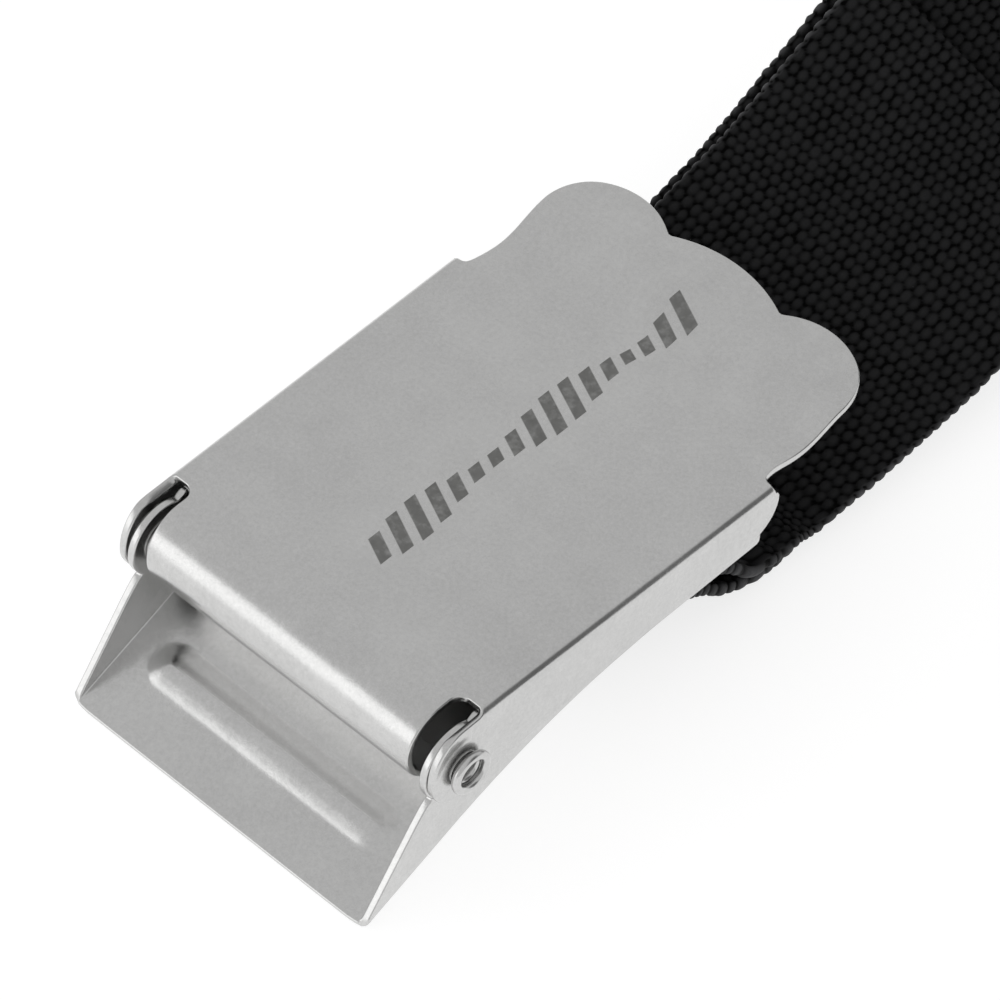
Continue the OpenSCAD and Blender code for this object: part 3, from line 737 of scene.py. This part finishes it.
# ------------------------------------------------------------------ materials
class Nodes:
    """A short way to write node trees."""

    def __init__(self, name):
        self.mat = bpy.data.materials.new(name)
        self.mat.use_nodes = True
        self.tree = self.mat.node_tree
        self.bsdf = self.tree.nodes["Principled BSDF"]
        coords = self.add("ShaderNodeTexCoord")
        self.pos, self.facing = coords.outputs["Object"], coords.outputs["Normal"]

    def add(self, kind, **props):
        node = self.tree.nodes.new(kind)
        for k, v in props.items():
            setattr(node, k, v)
        return node

    def put(self, socket, value):
        if isinstance(value, bpy.types.NodeSocket):
            self.tree.links.new(value, socket)
        else:
            socket.default_value = value

    def math(self, op, a, b=None):
        node = self.add("ShaderNodeMath", operation=op)
        self.put(node.inputs[0], a)
        if b is not None:
            self.put(node.inputs[1], b)
        return node.outputs[0]

    def plus(self, a, b):
        return self.math("ADD", a, b)

    def minus(self, a, b):
        return self.math("SUBTRACT", a, b)

    def times(self, a, b):
        return self.math("MULTIPLY", a, b)

    def noise(self, vector, scale, detail=2.0, rough=0.5, distortion=0.0):
        node = self.add("ShaderNodeTexNoise")
        self.put(node.inputs["Vector"], vector)
        self.put(node.inputs["Scale"], scale)
        self.put(node.inputs["Detail"], detail)
        self.put(node.inputs["Roughness"], rough)
        self.put(node.inputs["Distortion"], distortion)
        return node.outputs["Fac"]

    def layer(self, name):
        """A point layer of the mesh."""
        return self.add("ShaderNodeAttribute", attribute_name=name).outputs["Fac"]

    def split(self, vector):
        node = self.add("ShaderNodeSeparateXYZ")
        self.put(node.inputs[0], vector)
        return node.outputs

    def join(self, x, y, z):
        node = self.add("ShaderNodeCombineXYZ")
        for i, v in enumerate((x, y, z)):
            self.put(node.inputs[i], v)
        return node.outputs[0]

    def spread(self, value, a, b, c, d):
        """Maps a to c and b to d, and holds the value at both ends."""
        node = self.add("ShaderNodeMapRange")
        for i, v in enumerate((value, a, b, c, d)):
            self.put(node.inputs[i], v)
        return node.outputs[0]

    def mix(self, factor, a, b):
        node = self.add("ShaderNodeMix", data_type="RGBA")
        self.put(node.inputs["Factor"], factor)
        for key, v in (("A", a), ("B", b)):
            self.put([q for q in node.inputs if q.name == key and q.type == "RGBA"][0], v)
        return [q for q in node.outputs if q.type == "RGBA"][0]

    def bump(self, height, strength, distance, normal=None):
        node = self.add("ShaderNodeBump")
        self.put(node.inputs["Height"], height)
        self.put(node.inputs["Strength"], strength)
        self.put(node.inputs["Distance"], distance)
        if normal is not None:
            self.put(node.inputs["Normal"], normal)
        return node.outputs[0]

    def surface(self, **values):
        """Inputs of the shader, with _ for each space in their names."""
        for key, v in values.items():
            self.put(self.bsdf.inputs[key.replace("_", " ")], v)


def scratches(n, angle, density, width):
    """Thin, broken, slightly bent marks along one direction, as a 0 to 1 mask."""
    x, y, z = n.split(n.pos)
    c, s = math.cos(angle), math.sin(angle)
    along = n.plus(n.times(x, c), n.times(y, s))
    over = n.minus(n.times(y, c), n.times(x, s))
    over = n.plus(over, n.times(n.noise(n.pos, 60, 1), 0.004))
    field = n.noise(n.join(n.times(along, 60), n.times(over, density), z), 1.0, 1.0, 0.4)
    line = n.spread(n.math("ABSOLUTE", n.minus(field, 0.5)), 0.0, width, 1, 0)
    broken = n.spread(n.noise(n.pos, 220, 2), 0.42, 0.68, 0, 1)
    return n.times(line, broken)


def steel(name, tone, rough, etched_band=False):
    """Satin stainless steel with a fine grain, soft clouds and a few hair scratches."""
    n = Nodes(name)
    grain = n.noise(n.pos, 5200, 2, 0.6)
    fine = n.noise(n.pos, 1500, 3, 0.6)
    cloud = n.noise(n.pos, 55, 4, 0.6)
    blotch = n.noise(n.pos, 190, 3, 0.55)
    marks = scratches(n, 0.5, 2600, 0.012)
    for angle, density, width in ((1.9, 2200, 0.010), (2.7, 3000, 0.008)):
        marks = n.math("MAXIMUM", marks, scratches(n, angle, density, width))
    value = n.plus(tone - 0.21, n.plus(n.times(cloud, 0.10), n.times(blotch, 0.06)))
    value = n.plus(value, n.times(n.plus(fine, grain), 0.13))
    value = n.plus(value, n.times(marks, 0.022))
    colour = n.join(value, n.times(value, 0.998), n.times(value, 0.99))
    roughness = n.minus(n.plus(rough - 0.06, n.times(cloud, 0.12)), n.times(marks, 0.03))
    height = n.minus(n.plus(n.times(grain, 0.35), n.times(fine, 0.65)), n.times(marks, 0.2))
    if etched_band:
        etched = motif(n)
        dark = n.plus(0.15, n.times(n.noise(n.pos, 900, 3, 0.6), 0.10))
        colour = n.mix(etched, colour, n.join(dark, dark, n.times(dark, 0.97)))
        roughness = n.plus(roughness, n.times(etched, 0.18))
        height = n.minus(height, n.times(etched, 1.2))
    n.surface(Base_Color=colour, Metallic=1.0, Roughness=roughness,
              Normal=n.bump(height, 0.32, 0.00004, n.bump(cloud, 0.25, 0.0006)))
    return n.mat


def motif(n):
    """A generic etched band on the plate: slanted bars whose lengths swell and shrink like a wave."""
    first, pitch, count, slant = 0.0293, 0.0036, 17, 0.45
    middle_x, half, swell, wave = -0.0003, 0.0021, 0.0011, 0.84
    x, y, _ = n.split(n.pos)
    at = n.math("DIVIDE", n.minus(n.plus(y, n.times(x, slant)), first), pitch)
    cell = n.math("FLOOR", at)
    part = n.minus(at, cell)
    bar = n.times(n.spread(part, 0.14, 0.18, 0, 1), n.spread(part, 0.72, 0.76, 1, 0))
    reach = n.plus(half, n.times(n.math("SINE", n.times(cell, wave)), swell))
    across = n.math("GREATER_THAN", reach, n.math("ABSOLUTE", n.minus(x, middle_x)))
    along = n.times(n.math("GREATER_THAN", at, 0.0), n.math("LESS_THAN", at, float(count)))
    upper_face = n.math("GREATER_THAN", n.split(n.facing)[2], 0.5)
    worn = n.spread(n.noise(n.pos, 700, 3, 0.6), 0.25, 0.5, 0.72, 1.0)
    return n.times(n.times(n.times(n.times(bar, across), along), upper_face), worn)


def woven(name, shade):
    """Black webbing with painted shade between its floats and beads and painted light on their tops, with
    greyer edges and specks of lint.
    """
    n = Nodes(name)
    u, s, raised = n.layer("across"), n.layer("along"), n.layer("raised")
    fibre = n.noise(n.join(n.times(u, 4.0), n.times(s, 16.0), 0.0), 1.0, 3, 0.6)
    strand = n.math("SINE", n.times(n.plus(u, n.times(s, 0.5)), 34.0))
    lint = n.spread(n.noise(n.pos, 2600, 1, 0.5), 0.79, 0.84, 0, 1)
    cloud = n.noise(n.pos, 130, 3, 0.6)
    edge = n.spread(n.math("ABSOLUTE", u), 24.2, 24.9, 0.0, 1.0)
    value = n.times(n.plus(0.55, n.times(n.plus(cloud, fibre), 0.45)), shade)
    # painted shade and light: black where the floats and the selvedge's beads are low, up to half again
    # lighter on their tops
    value = n.times(value, n.spread(raised, 0.35, 0.95, 0.0, 1.5))
    value = n.times(value, n.plus(1.0, n.times(n.times(edge, cloud), 3.5)))
    value = n.plus(value, n.times(lint, 0.03))
    height = n.plus(n.times(fibre, 0.7), n.times(strand, 0.3))
    roughness = n.plus(0.46, n.times(fibre, 0.14))
    n.surface(Base_Color=n.join(value, value, n.times(value, 1.04)), Roughness=roughness,
              Normal=n.bump(height, 0.5, 0.00006), Sheen_Weight=0.02, Sheen_Roughness=0.4,
              Specular_IOR_Level=0.05)
    return n.mat


def looped(name, shade):
    """Black hook-and-loop strap."""
    n = Nodes(name)
    pile = n.noise(n.pos, 3600, 3, 0.7, 0.6)
    rib = n.math("SINE", n.times(n.split(n.pos)[1], 5200.0))
    cloud = n.noise(n.pos, 200, 3, 0.6)
    value = n.plus(shade, n.times(n.times(pile, cloud), shade * 3))
    height = n.plus(pile, n.times(rib, 0.15))
    n.surface(Base_Color=n.join(value, value, value), Roughness=n.spread(pile, 0.3, 0.7, 0.65, 0.9),
              Normal=n.bump(height, 0.8, 0.00022), Sheen_Weight=0.05, Specular_IOR_Level=0.15)
    return n.mat


def paint(obj, mat):
    obj.data.materials.clear()
    obj.data.materials.append(mat)


frame_steel = steel("frame_steel", 0.60, 0.24)
lever_steel = steel("lever_steel", 0.585, 0.25, etched_band=True)
rivet_steel = steel("rivet_steel", 0.58, 0.24)
belt_mat = woven("belt_webbing", 0.013)
tie_mat = looped("tie_band", 0.012)
paint(base, frame_steel)
paint(lever, lever_steel)
for piece in rivets:
    paint(piece, rivet_steel)
for piece in (webbing, stored):
    paint(piece, belt_mat)
paint(tie_band, tie_mat)
for node, mat in (("frame", frame_steel), ("lever", lever_steel), ("rivet_left", rivet_steel),
                  ("rivet_right", rivet_steel), ("webbing", belt_mat), ("webbing_roll", belt_mat),
                  ("roll_tie", tie_mat)):
    paint(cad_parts[node], mat)

# ------------------------------------------------------------------ floor and light
FLOOR_HALF = 4
floor_mesh = bpy.data.meshes.new("floor")
corners = [(x * FLOOR_HALF, y * FLOOR_HALF, 0) for x, y in ((-1, -1), (1, -1), (1, 1), (-1, 1))]
floor_mesh.from_pydata(corners, [], [(0, 1, 2, 3)])
floor = bpy.data.objects.new("floor", floor_mesh)
scene.collection.objects.link(floor)
floor.location = (0, 0, -0.0002)
board = Nodes("floor_board")
tone = board.plus(0.36, board.times(board.noise(board.pos, 40, 3), 0.02))
board.surface(Base_Color=board.join(tone, tone, tone), Roughness=0.8, Emission_Color=(1, 1, 1, 1),
              Emission_Strength=0.78)
paint(floor, board.mat)

# a soft box that the rolled edge and the bead mirror
light = bpy.data.lights.new("front_left_softbox", "AREA")
light.shape = "RECTANGLE"
light.size, light.size_y = 1.5, 0.84
light.energy = 3.6
softbox = bpy.data.objects.new("front_left_softbox", light)
scene.collection.objects.link(softbox)
softbox.location = (-0.70, -1.04, 0.26)
softbox_aim = Vector((0.0, 0.06, 0.01))
softbox.rotation_euler = (softbox.location - softbox_aim).to_track_quat("Z", "Y").to_euler()

# white surroundings with one darker patch, which the lever's right fold mirrors
PATCH_TOWARDS = Vector((0.80, 0.45, 0.42)).normalized()
PATCH_OUTER, PATCH_INNER = 0.86, 0.95  # cosines of the angle from its middle
WORLD_LIGHT, PATCH_LIGHT = 0.68, 0.16
world = bpy.data.worlds.new("studio")
scene.world = world
world.use_nodes = True
tree = world.node_tree
background = tree.nodes["Background"]
background.inputs["Color"].default_value = (1, 1, 1, 1)
coords = tree.nodes.new("ShaderNodeTexCoord")
towards = tree.nodes.new("ShaderNodeVectorMath")
towards.operation = "DOT_PRODUCT"
towards.inputs[1].default_value = PATCH_TOWARDS
patch = tree.nodes.new("ShaderNodeMapRange")
patch.interpolation_type = "SMOOTHSTEP"
for i, v in enumerate((PATCH_OUTER, PATCH_INNER, WORLD_LIGHT, PATCH_LIGHT)):
    patch.inputs[i + 1].default_value = v
tree.links.new(coords.outputs["Generated"], towards.inputs[0])
tree.links.new(towards.outputs["Value"], patch.inputs[0])
tree.links.new(patch.outputs[0], background.inputs["Strength"])
scene.view_settings.view_transform = "Standard"
